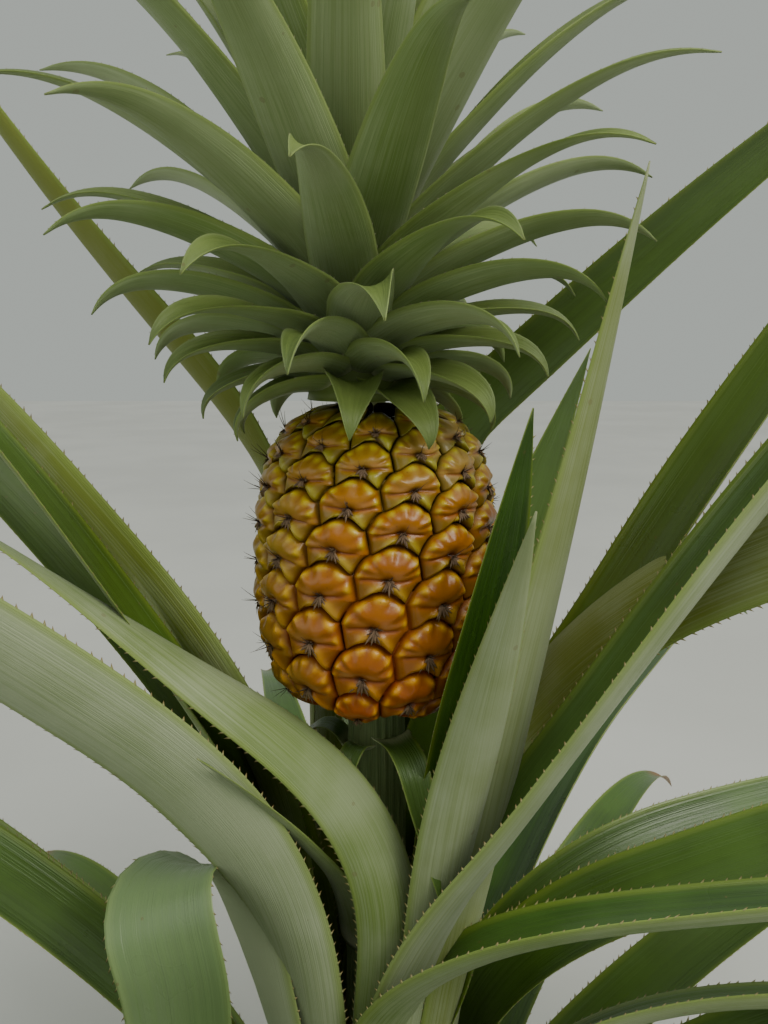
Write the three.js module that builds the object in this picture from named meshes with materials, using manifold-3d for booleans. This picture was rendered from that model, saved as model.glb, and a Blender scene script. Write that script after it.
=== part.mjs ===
// A pineapple plant in fruit, in millimetres, +Z up, standing on the ground at z = 0.
// One short stem carries a rosette of long spiny leaves. A stalk rises from its middle and holds
// one fruit, and the fruit is topped by its own small rosette, the crown.
// Every leaf sits a golden angle on from the one below it, and so does every eye of the fruit.

import * as THREE from 'three';
import { mergeVertices } from 'three/addons/utils/BufferGeometryUtils.js';
import Module from 'manifold-3d';

const wasm = await Module();
wasm.setup();

// Driving dimensions
const GAP = 0.3;
const DIVERGENCE = 137.5;
const PATH_STEPS = 60;

const STEM_HEIGHT = 260;
const STEM_WAIST = 30;
const STEM_SHOULDER = 200;
const STEM_GROUND_RADIUS = 37;
const STEM_WAIST_RADIUS = 30;
const STEM_SHOULDER_RADIUS = 36;
const STEM_TOP_RADIUS = 22;

const STALK_FOOT_RADIUS = 17;
const STALK_TOP_RADIUS = 15;
const STALK_LEAN = 0.10;

const FRUIT_FOOT = 438;
const FRUIT_TOP = 594;
const FRUIT_WIDEST = 512;
const FRUIT_RADIUS = 61;
const EYE_COUNT = 102;
const EYE_TURN = 138;
const EYE_FIRST_AZIMUTH = 90;
const EYE_CROWDING = 0.42;
const EYE_DEPTH = 4.5;
const EYE_SHOULDER = 0.68;
const EYE_PINCH = 2;
const EYE_DROP = 1;

const CROWN_FOOT_RADIUS = 25;
const CROWN_TIP_RADIUS = 5;
const CROWN_CORE_HEIGHT = 84;
const CROWN_OFFSET = 10;
const CROWN_SIDE_LEAN = 0.05;
const CROWN_LEAF_COUNT = 44;
const CROWN_FIRST_AZIMUTH = 250;
const CROWN_CROWDING = 1.2;
const CROWN_UPRIGHT_FROM = 0.5;
const CROWN_SKIRT_TO = 0.15;
const CROWN_GROWN_FROM = 0.75;
const CROWN_YOUNG_FROM = 0.85;
const CROWN_TWIST = 22;

const ROSETTE_COUNT = 40;
const ROSETTE_LOWEST = 35;
const ROSETTE_HIGHEST = 250;

// Shape shared by all leaves, as shares of length, width or gap
const LEAF_THICKNESS = 0.01;
const TIP_THINNING = 0.5;
const CLASP_SHARE = 0.1;
const CUP_SHARE = 0.35;
const BLADE_NARROWING = 0.1;
const TAPER_FULLNESS = 1.6;
const TAPER_CURVE = 0.95;
const HANG_CURVE = 1.4;
const HOOK_FROM = 0.72;
const HOOK_CURVE = 1.5;
const EDGE_TUCK = 0.4;
const ROOT_INSET = 4;

// Finishes
const leafGreen = new THREE.MeshStandardMaterial({ color: 0x3f6426, roughness: 0.42, metalness: 0 });
const crownGreen = new THREE.MeshStandardMaterial({ color: 0x5d7357, roughness: 0.6, metalness: 0 });
const fruitAmber = new THREE.MeshStandardMaterial({ color: 0xc2741a, roughness: 0.35, metalness: 0 });
const stemBrown = new THREE.MeshStandardMaterial({ color: 0x6d5a3c, roughness: 0.9, metalness: 0 });
const stalkGreen = new THREE.MeshStandardMaterial({ color: 0x6c8a45, roughness: 0.6, metalness: 0 });

const radians = (degrees) => degrees * Math.PI / 180;

const clamp01 = (x) => Math.min(1, Math.max(0, x));

const ease = (x) => {
  const c = clamp01(x);
  return c * c * (3 - 2 * c);
};

const mix = (a, b, t) => a + (b - a) * t;

// The stalk, the fruit and the crown lean back together, a little for each millimetre they rise.
const leanAt = (z) => Math.max(0, z - STEM_HEIGHT) * STALK_LEAN;

// The crown sits a little to one side of the fruit's axis and leans further that way as it rises.
const sideAt = (z) => (z > FRUIT_TOP ? -CROWN_OFFSET - (z - FRUIT_TOP) * CROWN_SIDE_LEAN : 0);

// Stem outline: a flare at the ground, a waist, and the thick shoulder that carries the leaves.
function stemRadius(z) {
  if (z < STEM_WAIST) {
    return mix(STEM_GROUND_RADIUS, STEM_WAIST_RADIUS, Math.sin(Math.PI / 2 * z / STEM_WAIST));
  }
  if (z < STEM_SHOULDER) {
    const climbed = ease((z - STEM_WAIST) / (STEM_SHOULDER - STEM_WAIST));
    return mix(STEM_WAIST_RADIUS, STEM_SHOULDER_RADIUS, climbed);
  }
  const rounding = ((z - STEM_SHOULDER) / (STEM_HEIGHT - STEM_SHOULDER)) ** 2;
  return mix(STEM_SHOULDER_RADIUS, STEM_TOP_RADIUS, rounding);
}

function stalkRadius(z) {
  return mix(STALK_FOOT_RADIUS, STALK_TOP_RADIUS, (z - STEM_HEIGHT) / (FRUIT_FOOT - STEM_HEIGHT));
}

// Fruit outline: a barrel that is a cube-law oval above and below its widest girth.
function fruitRadius(z) {
  const reach = z < FRUIT_WIDEST ? FRUIT_WIDEST - FRUIT_FOOT : FRUIT_TOP - FRUIT_WIDEST;
  const x = Math.min(1, Math.abs(z - FRUIT_WIDEST) / reach);
  return FRUIT_RADIUS * Math.cbrt(1 - x ** 3);
}

// Points and triangles become a solid, turned so that its faces point out.
function solidFrom(points, triangles) {
  const geometry = new THREE.BufferGeometry();
  const places = points.flatMap((p) => p.toArray());
  geometry.setAttribute('position', new THREE.Float32BufferAttribute(places, 3));
  geometry.setIndex(triangles.flat());
  return solidOf(geometry);
}

function solidOf(geometry) {
  const plain = geometry.clone();
  plain.deleteAttribute('normal');
  plain.deleteAttribute('uv');
  const merged = mergeVertices(plain, 1e-4);
  const triVerts = new Uint32Array(merged.index.array);
  const vertProperties = new Float32Array(merged.attributes.position.array);
  const solid = new wasm.Manifold(new wasm.Mesh({ numProp: 3, vertProperties, triVerts }));
  if (solid.volume() > 0) return solid;
  const flipped = triVerts.slice();
  for (let i = 0; i < flipped.length; i += 3) {
    [flipped[i + 1], flipped[i + 2]] = [flipped[i + 2], flipped[i + 1]];
  }
  return new wasm.Manifold(new wasm.Mesh({ numProp: 3, vertProperties, triVerts: flipped }));
}

// A solid of revolution about the leaning axis, from a radius rule between two heights.
function turned(radiusAt, low, high, steps, sides, grow) {
  const profile = [new THREE.Vector2(0, low - grow)];
  for (let i = 0; i <= steps; i += 1) {
    const z = mix(low, high, i / steps);
    const edge = i === 0 ? -grow : i === steps ? grow : 0;
    profile.push(new THREE.Vector2(radiusAt(z) + grow, z + edge));
  }
  profile.push(new THREE.Vector2(0, high + grow));
  const geometry = new THREE.LatheGeometry(profile, sides).rotateX(Math.PI / 2);
  const position = geometry.attributes.position;
  for (let i = 0; i < position.count; i += 1) {
    const z = position.getZ(i);
    position.setXY(i, position.getX(i) + sideAt(z), position.getY(i) + leanAt(z));
  }
  return solidOf(geometry);
}

// Leaves

// Width along a leaf: broad where it clasps the stem, even along its length, then a long fine taper.
function leafWidth(leaf, t) {
  const broad = leaf.width * mix(leaf.clasp, 1, ease(t / CLASP_SHARE));
  if (t < leaf.taperFrom) return broad * (1 - BLADE_NARROWING * ease(t / leaf.taperFrom));
  const x = (t - leaf.taperFrom) / (1 - leaf.taperFrom);
  return broad * (1 - BLADE_NARROWING) * (1 - x ** TAPER_FULLNESS) ** TAPER_CURVE;
}

// The midline leaves the axis at an azimuth, climbs at `rise` degrees, bends over by `arch` between
// two shares of its length, droops toward the tip, and may turn its heading by `turn` as it bends.
// `hook` curls the last part of it down.
function leafPath(leaf) {
  const away = new THREE.Vector3(Math.cos(radians(leaf.at)), Math.sin(radians(leaf.at)), 0);
  const axis = new THREE.Vector3(sideAt(leaf.z), leanAt(leaf.z), leaf.z);
  const point = away.clone().multiplyScalar(leaf.root).add(axis);
  let last = null;
  let normal = away.clone().negate();
  const frames = [];
  for (let i = 0; i <= PATH_STEPS; i += 1) {
    const t = i / PATH_STEPS;
    const bend = ease((t - leaf.bendFrom) / (leaf.bendTo - leaf.bendFrom));
    const hang = Math.max(0, (t - leaf.bendTo) / Math.max(1e-6, 1 - leaf.bendTo)) ** HANG_CURVE;
    const curl = Math.max(0, (t - HOOK_FROM) / (1 - HOOK_FROM)) ** HOOK_CURVE;
    const climb = radians(leaf.rise - leaf.arch * bend - leaf.droop * hang - leaf.hook * curl);
    const heading = radians(leaf.toward + leaf.turn * bend);
    const flat = Math.cos(climb);
    const along = new THREE.Vector3(flat * Math.cos(heading), flat * Math.sin(heading), Math.sin(climb));
    if (last) normal.applyQuaternion(new THREE.Quaternion().setFromUnitVectors(last, along));
    normal.addScaledVector(along, -normal.dot(along)).normalize();
    const twist = radians(leaf.twist * ease(t / leaf.twistBy));
    const up = normal.clone().applyAxisAngle(along, twist);
    frames.push({ t, point: point.clone(), along, up, side: along.clone().cross(up) });
    point.addScaledVector(along, leaf.length / PATH_STEPS);
    last = along;
  }
  return frames;
}

// A leaf's solid: arc-shaped sections with thin edges, closed flat at the root and to a point at
// the tip. It is a hundredth of its length thick to its middle and then thins toward the tip.
// `grow` gives the same leaf a little larger on every side.
function leafSolid(leaf, grow) {
  const frames = leafPath(leaf);
  const stride = PATH_STEPS / leaf.stations;
  const points = [];
  const around = 2 * leaf.spans;
  for (let k = 0; k < leaf.stations; k += 1) {
    const { t, point, along, up, side } = frames[k * stride];
    const width = leafWidth(leaf, t);
    const radius = width / radians(mix(leaf.cupFoot, leaf.cupBlade, ease(t / CUP_SHARE)));
    const cup = (width + 4 * grow) / radius;
    const half = leaf.length * LEAF_THICKNESS / 2 * (1 - TIP_THINNING * ease(2 * t - 1)) + grow;
    const centre = point.clone().addScaledVector(along, k === 0 ? -2 * grow : 0);
    const at = (u, lift) => centre.clone()
      .addScaledVector(side, (radius - lift) * Math.sin(u * cup / 2))
      .addScaledVector(up, radius - (radius - lift) * Math.cos(u * cup / 2));
    for (let j = 0; j <= leaf.spans; j += 1) {
      const edge = j === 0 || j === leaf.spans;
      points.push(at(2 * j / leaf.spans - 1, edge ? -EDGE_TUCK * grow : half));
    }
    for (let j = leaf.spans - 1; j > 0; j -= 1) points.push(at(2 * j / leaf.spans - 1, -half));
  }
  const end = frames[PATH_STEPS];
  points.push(end.point.clone().addScaledVector(end.along, 2 * grow));
  // Upper and under side are split along the same diagonals, so a twisted blade keeps its thickness.
  const triangles = [];
  for (let k = 0; k + 1 < leaf.stations; k += 1) {
    for (let j = 0; j < around; j += 1) {
      const a = k * around + j;
      const b = k * around + (j + 1) % around;
      if (j < leaf.spans) triangles.push([a, b, b + around], [a, b + around, a + around]);
      else triangles.push([a, b, a + around], [b, b + around, a + around]);
    }
  }
  const tipRow = (leaf.stations - 1) * around;
  for (let j = 0; j < around; j += 1) {
    triangles.push([tipRow + j, tipRow + (j + 1) % around, points.length - 1]);
  }
  for (let j = 1; j < leaf.spans; j += 1) {
    const under = around - j;
    const nextUnder = j + 1 === leaf.spans ? leaf.spans : under - 1;
    if (j === 1) triangles.push([0, under, 1]);
    if (j + 1 < leaf.spans) triangles.push([j, under, nextUnder], [j, nextUnder, j + 1]);
    else triangles.push([j, under, leaf.spans]);
  }
  return solidFrom(points, triangles);
}

const leafDefaults = {
  turn: 0, twist: 0, twistBy: 1, hook: 0, clasp: 1.15, taperFrom: 0.45, stations: 10, spans: 3,
};

// Rosette leaf number k, counted up the stem: the old low leaves are short and lie out flat, the
// middle ones are longest, and the young inner ones stand up.
function rosetteLeaf(k) {
  const up = k / (ROSETTE_COUNT - 1);
  const prime = Math.sin(Math.PI * Math.min(1, 0.12 + 0.8 * up));
  const at = (k * DIVERGENCE + 180) % 360 - 180;
  const z = mix(ROSETTE_LOWEST, ROSETTE_HIGHEST, up);
  return {
    ...leafDefaults,
    at,
    toward: at,
    z,
    rise: 38 + 44 * up,
    arch: 30 - 10 * up,
    droop: 62 - 50 * up,
    bendFrom: 0.05,
    bendTo: 0.5,
    length: 360 + 380 * prime,
    width: 40 + 18 * prime,
    cupFoot: 100,
    cupBlade: 80,
    ...(asSeen[k] ?? {}),
    root: stemRadius(z) + ROOT_INSET,
  };
}

// The leaves that stand round the fruit have their own stance.
const asSeen = {
  16: { toward: 15, rise: 78, arch: 70, droop: 30, length: 600, width: 50 },
  18: { toward: -10, rise: 72, arch: 66, droop: 35, length: 600, width: 50 },
  21: { toward: -5, rise: 82, arch: 56, droop: 25, bendTo: 0.4, length: 600, width: 56 },
  22: { toward: 158, rise: 86, arch: 44, droop: 20, length: 700, width: 56, cupBlade: 100 },
  23: {
    toward: -46.5, turn: 43, rise: 95, arch: 86, droop: 17, bendTo: 0.47, twist: 39, twistBy: 0.32,
    length: 620, width: 54, cupBlade: 104,
  },
  24: {
    toward: 75, turn: -99, rise: 78, arch: 35, droop: 8, bendFrom: 0.43, bendTo: 0.56, twist: -6.5,
    twistBy: 0.5, length: 800, width: 58, cupBlade: 92,
  },
  25: {
    toward: 177, turn: 158, rise: 78, arch: 165, droop: 0, bendFrom: 0.31, bendTo: 0.58, twist: 38,
    twistBy: 0.5, length: 490, width: 62, cupBlade: 40, stations: 20,
  },
  26: {
    toward: -13, rise: 89, arch: 9.5, droop: -2.5, bendFrom: 0, bendTo: 0.3, twist: -11,
    twistBy: 0.5, length: 520, width: 54, cupBlade: 97,
  },
  27: {
    toward: 31, turn: 4, rise: 78.4, arch: 17, droop: 0, bendFrom: 0, bendTo: 0.7, twist: -6,
    twistBy: 0.4, length: 475, width: 58, cupBlade: 80,
  },
  28: { rise: 44, arch: 24, droop: 40 },
  29: { toward: 50, rise: 46, arch: 36, droop: 40 },
  30: {
    toward: 174, rise: 88.5, arch: 37.5, droop: 12, bendTo: 0.52, twist: 43.5, twistBy: 0.48,
    length: 660, width: 66, cupBlade: 147,
  },
  31: {
    toward: -7.5, rise: 95, arch: 35.5, droop: 7, bendFrom: 0, bendTo: 0.28, twist: 45,
    twistBy: 0.34, length: 680, width: 60, cupBlade: 116,
  },
  32: {
    toward: -0.5, turn: -56, rise: 77, arch: 49, droop: 4, bendFrom: 0.07, bendTo: 0.57,
    twist: 111.5, twistBy: 0.33, length: 800, width: 63, cupBlade: 78,
  },
  33: {
    toward: -144, rise: 84.5, arch: 38, droop: 21, bendFrom: 0.06, bendTo: 0.48, twist: 59,
    twistBy: 0.36, length: 620, width: 46, cupBlade: 45,
  },
  34: {
    toward: -29.5, turn: -42.5, rise: 93.7, arch: 25, droop: 0, bendFrom: 0.15, bendTo: 0.72,
    twist: 132, twistBy: 0.4, length: 388, width: 50, cupBlade: 54, taperFrom: 0.6,
  },
  35: {
    toward: 105.5, turn: 69.5, rise: 75, arch: 24.5, droop: -11, bendFrom: 0.22, bendTo: 0.57,
    twist: 76, twistBy: 0.59, length: 750, width: 46, cupBlade: 81,
  },
  36: {
    toward: -185, rise: 95, arch: 58, droop: 24, bendFrom: 0.11, bendTo: 0.43, twist: 134,
    twistBy: 0.86, length: 580, width: 36, cupBlade: 56,
  },
  37: {
    toward: -5, rise: 79, arch: 17, droop: 6, bendFrom: 0, bendTo: 0.25, twist: -37.5, twistBy: 0.4,
    length: 700, width: 58, cupBlade: 82,
  },
  39: {
    toward: -62, turn: -8, rise: 78.7, arch: 8.3, droop: 0, bendFrom: 0.18, bendTo: 0.95,
    twist: -65.5, length: 325, width: 46, cupFoot: 92, cupBlade: 120, taperFrom: 0.35,
  },
};

// Crown leaf number k: the lowest are a short skirt that hangs over the fruit's shoulders with hooked
// tips, and each higher one is longer, broader and more upright. The innermost few are shorter again,
// and the low ones stand closer together than the high ones.
function crownLeaf(k) {
  const up = (k / (CROWN_LEAF_COUNT - 1)) ** CROWN_CROWDING;
  const at = (CROWN_FIRST_AZIMUTH + k * DIVERGENCE) % 360;
  const grown = Math.min(1, up / CROWN_GROWN_FROM) ** 1.1;
  const young = Math.max(0, (up - CROWN_YOUNG_FROM) / (1 - CROWN_YOUNG_FROM));
  return {
    ...leafDefaults,
    at,
    toward: at,
    z: FRUIT_TOP + ROOT_INSET + (CROWN_CORE_HEIGHT - 2 * ROOT_INSET) * up,
    root: mix(CROWN_FOOT_RADIUS, CROWN_TIP_RADIUS, up) - ROOT_INSET,
    rise: 16 * Math.min(1, up / CROWN_SKIRT_TO) + 68 * up,
    arch: 22 - 18 * up ** 2,
    droop: 53 * (1 - up) ** 0.6,
    hook: 42 * (1 - up),
    bendFrom: 0,
    bendTo: 0.45,
    length: 52 + 190 * grown - 40 * young,
    width: 40 + 20 * up,
    twist: k % 2 ? CROWN_TWIST : -CROWN_TWIST,
    clasp: mix(0.8, 0.3, up),
    taperFrom: 0.25,
    cupFoot: 110,
    cupBlade: 105,
    stations: up < CROWN_UPRIGHT_FROM ? 6 : 4,
    spans: 2,
  };
}

// Stalk leaves: short blades on the stalk, and a ruff of small ones close under the fruit.
const stalkLeaves = [
  { at: -65, z: 424, rise: 5, arch: 62, length: 86, width: 20 },
  { at: 87, z: 350, rise: 78, arch: 30, length: 150, width: 26 },
  { at: 225, z: 310, rise: 80, arch: 24, length: 170, width: 28 },
  { at: 20, z: 285, rise: 82, arch: 14, length: 190, width: 30 },
  { at: 160, z: 412, rise: 50, arch: 90, length: 60, width: 16 },
  { at: 245, z: 420, rise: 30, arch: 80, length: 40, width: 14 },
];

const stalkLeaf = (stance) => ({
  ...leafDefaults,
  toward: stance.at,
  droop: 10,
  bendFrom: 0.05,
  bendTo: 0.4,
  cupFoot: 80,
  cupBlade: 60,
  taperFrom: 0.2,
  stations: 6,
  spans: 2,
  ...stance,
  root: stalkRadius(stance.z) + ROOT_INSET / 2,
});

// Fruit

// The eyes lie on a spiral lattice, closer together toward the top. Each has six neighbours: 5, 8
// and 13 places up and down.
function fruitSolid(grow) {
  const place = (i) => {
    const s = (i + 0.5) / EYE_COUNT;
    const share = clamp01(s + EYE_CROWDING * s * (1 - s));
    return { z: mix(FRUIT_FOOT + 0.5, FRUIT_TOP - 0.5, share), turn: EYE_FIRST_AZIMUTH - EYE_TURN * i };
  };
  const onSkin = (z, turn, lift) => {
    const radius = fruitRadius(z) + lift + grow;
    const angle = radians(turn);
    return new THREE.Vector3(radius * Math.cos(angle), radius * Math.sin(angle) + leanAt(z), z);
  };
  // A corner lies between three eyes, down in the groove. Seen from outside, the corners of one kind
  // are drawn to the right and those of the other to the left, so an eye is narrow at its waist and
  // its lower half flares.
  const corner = (i, others, pinch) => {
    const first = place(i);
    const spots = others.map((step) => {
      const spot = place(i + step);
      const apart = ((spot.turn - first.turn) % 360 + 540) % 360 - 180;
      return { z: spot.z, turn: first.turn + apart };
    });
    const middle = (first.z + spots[0].z + spots[1].z) / 3;
    const z = middle - Math.min(EYE_DROP, middle - FRUIT_FOOT - 0.5);
    const turn = (first.turn + spots[0].turn + spots[1].turn) / 3;
    return { z, turn: turn + pinch / radians(1) / fruitRadius(z) };
  };
  const points = [];
  const index = new Map();
  const vertex = (key, point) => {
    if (!index.has(key)) {
      index.set(key, points.length);
      points.push(point);
    }
    return index.get(key);
  };
  const triangles = [];
  for (let i = 0; i < EYE_COUNT; i += 1) {
    const eye = place(i);
    const centre = vertex(`eye${i}`, onSkin(eye.z, eye.turn, 0));
    const ring = [['A', i], ['B', i - 5], ['A', i - 13], ['B', i - 13], ['A', i - 8], ['B', i]];
    const outer = ring.map(([kind, from]) => {
      const spot = kind === 'A' ? corner(from, [8, 13], -EYE_PINCH) : corner(from, [5, 13], EYE_PINCH);
      return vertex(`${kind}${from}`, onSkin(spot.z, spot.turn, -EYE_DEPTH));
    });
    const inner = outer.map((id, j) => {
      const shoulder = points[centre].clone().lerp(points[id], EYE_SHOULDER);
      const radial = new THREE.Vector3(shoulder.x, shoulder.y - leanAt(shoulder.z), 0).normalize();
      return vertex(`ring${i}.${j}`, shoulder.addScaledVector(radial, 0.5 * EYE_DEPTH));
    });
    for (let j = 0; j < 6; j += 1) {
      const next = (j + 1) % 6;
      triangles.push([centre, inner[j], inner[next]]);
      triangles.push([inner[j], outer[j], outer[next]], [inner[j], outer[next], inner[next]]);
    }
  }
  // The open rims at the foot and the top are each drawn in to a point on the axis.
  const sides = triangles.flatMap(([a, b, c]) => [[a, b], [b, c], [c, a]]);
  const seen = new Set(sides.map(([a, b]) => `${a}.${b}`));
  const rims = sides.filter(([a, b]) => !seen.has(`${b}.${a}`));
  const foot = vertex('foot', new THREE.Vector3(0, leanAt(FRUIT_FOOT), FRUIT_FOOT - grow));
  const top = vertex('top', new THREE.Vector3(0, leanAt(FRUIT_TOP), FRUIT_TOP + grow));
  for (const [a, b] of rims) triangles.push([b, a, points[a].z < FRUIT_WIDEST ? foot : top]);
  return solidFrom(points, triangles);
}

// Assembly

const plant = new THREE.Group();

function add(name, solid, material) {
  const mesh = solid.getMesh();
  const geometry = new THREE.BufferGeometry();
  geometry.setAttribute('position', new THREE.BufferAttribute(new Float32Array(mesh.vertProperties), 3));
  geometry.setIndex(new THREE.BufferAttribute(new Uint32Array(mesh.triVerts), 1));
  geometry.computeVertexNormals();
  const part = new THREE.Mesh(geometry, material);
  part.name = name;
  plant.add(part);
}

// Trimming can leave loose scraps, and fusing can seal a hollow: the largest body has neither.
function largest(solid) {
  return solid.decompose().reduce((best, body) => (body.volume() > best.volume() ? body : best));
}

const overlaps = (a, b) => {
  const p = a.boundingBox();
  const q = b.boundingBox();
  return [0, 1, 2].every((axis) => p.min[axis] < q.max[axis] && q.min[axis] < p.max[axis]);
};

// What presses on a neighbour gives way to it and keeps a small gap.
function clearOf(solid, neighbours) {
  let rest = solid;
  for (const neighbour of neighbours) {
    const pressed = overlaps(rest, neighbour) && !rest.intersect(neighbour).isEmpty();
    if (pressed) rest = largest(rest.subtract(neighbour));
  }
  return rest;
}

const stemSolid = (grow) => turned(stemRadius, 0, STEM_HEIGHT, 8, 20, grow);
const stalkSolid = (grow) => turned(stalkRadius, STEM_HEIGHT + GAP, FRUIT_FOOT - GAP, 2, 16, grow);

add('stem', stemSolid(0), stemBrown);
add('stalk', stalkSolid(0), stalkGreen);
add('fruit', fruitSolid(0), fruitAmber);

// Crown: four tiers, each a band of the core with its leaves fused on, the upper ones made first.
const coreRadius = (z) => mix(CROWN_FOOT_RADIUS, CROWN_TIP_RADIUS, (z - FRUIT_TOP) / CROWN_CORE_HEIGHT);
const tiers = [
  { name: 'crown_heart', from: 36, to: CROWN_LEAF_COUNT },
  { name: 'crown_middle', from: 24, to: 36 },
  { name: 'crown_lower', from: 12, to: 24 },
  { name: 'crown_skirt', from: 0, to: 12 },
];
const grownFruit = fruitSolid(GAP);
const bandFoot = (k) => FRUIT_TOP + 1 + CROWN_CORE_HEIGHT * (k / CROWN_LEAF_COUNT) ** CROWN_CROWDING;
const grownTiers = [];
for (const { name, from, to } of tiers) {
  const tier = (grow) => {
    const parts = [turned(coreRadius, bandFoot(from) + GAP, bandFoot(to), 2, 16, grow)];
    for (let k = from; k < to; k += 1) parts.push(leafSolid(crownLeaf(k), grow));
    return wasm.Manifold.union(parts);
  };
  const body = clearOf(largest(tier(0)), [...grownTiers, grownFruit]);
  add(name, body, crownGreen);
  grownTiers.push(largest(tier(GAP)).add(body));
}

const standing = [stemSolid(GAP), stalkSolid(GAP), grownFruit, ...grownTiers];
stalkLeaves.forEach((stance, i) => {
  const leaf = stalkLeaf(stance);
  const body = clearOf(leafSolid(leaf, 0), standing);
  add(`stalk_leaf_${i + 1}`, body, leafGreen);
  standing.push(leafSolid(leaf, GAP).add(body));
});

// Rosette: the inner leaves are made first, and each outer one keeps clear of them.
for (let k = ROSETTE_COUNT - 1; k >= 0; k -= 1) {
  const leaf = rosetteLeaf(k);
  const body = clearOf(leafSolid(leaf, 0), standing);
  add(`leaf_${String(k + 1).padStart(2, '0')}`, body, leafGreen);
  standing.push(leafSolid(leaf, GAP).add(body));
}

export default plant;
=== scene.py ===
# %% [markdown]
# # A pineapple plant in fruit
# A short stem carries a rosette of long spiny leaves. A stalk rises from its middle with one fruit,
# and the fruit wears its own small rosette, the crown. The plain solids come in first as a fixed
# frame in metres. Everything made after that is laid over them, so nothing has to be fitted later.

# %% Load the frame
import math

import bmesh
import bpy
import numpy as np
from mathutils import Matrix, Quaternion, Vector


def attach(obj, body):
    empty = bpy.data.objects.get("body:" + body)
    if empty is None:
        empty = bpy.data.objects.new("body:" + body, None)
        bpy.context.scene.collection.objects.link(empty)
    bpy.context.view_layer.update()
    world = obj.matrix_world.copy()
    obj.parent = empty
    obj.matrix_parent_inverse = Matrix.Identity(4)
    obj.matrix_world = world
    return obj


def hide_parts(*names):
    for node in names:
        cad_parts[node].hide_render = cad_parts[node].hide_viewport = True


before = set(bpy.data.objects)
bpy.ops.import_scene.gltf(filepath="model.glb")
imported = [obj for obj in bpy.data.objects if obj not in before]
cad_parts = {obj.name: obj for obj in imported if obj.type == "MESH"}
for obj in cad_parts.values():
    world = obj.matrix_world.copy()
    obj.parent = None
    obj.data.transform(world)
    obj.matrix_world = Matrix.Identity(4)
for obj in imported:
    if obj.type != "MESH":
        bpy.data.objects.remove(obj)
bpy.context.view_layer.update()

MM = 0.001

# %% [markdown]
# ## The view
# The picture was taken from arm's length, level with the foot of the crown and tipped down twelve
# degrees, with a wide lens. The camera stands at that spot, because the near leaves only sweep past
# the fruit in the right curves when the distance is right as well as the direction.

# %% Camera
PICTURE_HEIGHT = 1024
FOCAL_PIXELS = 770
SENSOR_WIDTH = 36
VIEW_PITCH = 12
camera = bpy.data.objects.new("camera", bpy.data.cameras.new("camera"))
camera.data.sensor_width = SENSOR_WIDTH
camera.data.lens = SENSOR_WIDTH * FOCAL_PIXELS / PICTURE_HEIGHT
camera.data.clip_start = 0.01
camera.location = (0.004, -0.360, 0.620)
camera.rotation_euler = (math.radians(90 - VIEW_PITCH), 0, 0)
bpy.context.collection.objects.link(camera)
bpy.context.scene.camera = camera
print("lens", round(camera.data.lens, 2), "mm")

# %% [markdown]
# ## Small tools
# A mesh here is lists of points and faces worked out in code, so one helper turns them into a piece:
# it fills in the UV map and the named marks that the materials read, smooths the faces, tells the
# frame which body the piece rides on and hides the plain solids it stands for.

# %% Mesh helper
def make_piece(name, points, faces, materials, nodes=(), kinds=None, uv=None, marks=None):
    mesh = bpy.data.meshes.new(name)
    mesh.from_pydata(np.asarray(points, dtype=float).tolist(), [], faces)
    for material in materials:
        mesh.materials.append(material)
    if kinds is not None:
        mesh.polygons.foreach_set("material_index", np.asarray(kinds, dtype=np.int32))
    if uv is not None:
        corner = np.zeros(len(mesh.loops), dtype=np.int32)
        mesh.loops.foreach_get("vertex_index", corner)
        layer = mesh.uv_layers.new(name="UVMap")
        layer.data.foreach_set("uv", np.asarray(uv, dtype=np.float32)[corner].ravel())
    for mark, values in (marks or {}).items():
        spread = np.broadcast_to(np.asarray(values, dtype=np.float32), (len(mesh.vertices),))
        mesh.attributes.new(mark, "FLOAT", "POINT").data.foreach_set("value", np.ascontiguousarray(spread))
    mesh.polygons.foreach_set("use_smooth", np.ones(len(mesh.polygons), dtype=bool))
    mesh.update()
    piece = bpy.data.objects.new(name, mesh)
    bpy.context.collection.objects.link(piece)
    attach(piece, "root")
    if nodes:
        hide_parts(*nodes)
    return piece


# %% Shape helpers
def clamp01(x):
    return np.clip(x, 0.0, 1.0)


def ease(x):
    c = clamp01(x)
    return c * c * (3 - 2 * c)


def mix(a, b, t):
    return a + (b - a) * t


# %% Node helpers
def node(tree, kind, values=None, **settings):
    item = tree.nodes.new(kind)
    for key, value in settings.items():
        setattr(item, key, value)
    for key, value in (values or {}).items():
        if isinstance(value, bpy.types.NodeSocket):
            tree.links.new(value, item.inputs[key])
        else:
            item.inputs[key].default_value = value
    return item


def calc(tree, operation, a, b=0.0, clamp=False):
    return node(tree, "ShaderNodeMath", {0: a, 1: b}, operation=operation, use_clamp=clamp).outputs[0]


def remap(tree, value, low, high, to_low=0.0, to_high=1.0):
    item = node(tree, "ShaderNodeMapRange", interpolation_type="SMOOTHSTEP")
    entries = {"Value": value, "From Min": low, "From Max": high, "To Min": to_low, "To Max": to_high}
    for key, entry in entries.items():
        if isinstance(entry, bpy.types.NodeSocket):
            tree.links.new(entry, item.inputs[key])
        else:
            item.inputs[key].default_value = entry
    return item.outputs[0]


def tint(tree, factor, a, b):
    item = node(tree, "ShaderNodeMix", data_type="RGBA")
    for index, entry in ((0, factor), (6, a), (7, b)):
        if isinstance(entry, bpy.types.NodeSocket):
            tree.links.new(entry, item.inputs[index])
        else:
            item.inputs[index].default_value = (*entry, 1) if index else entry
    return item.outputs[2]


def over(tree, colour, mask, share, paint):
    return tint(tree, calc(tree, "MULTIPLY", mask, share), colour, paint)


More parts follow.
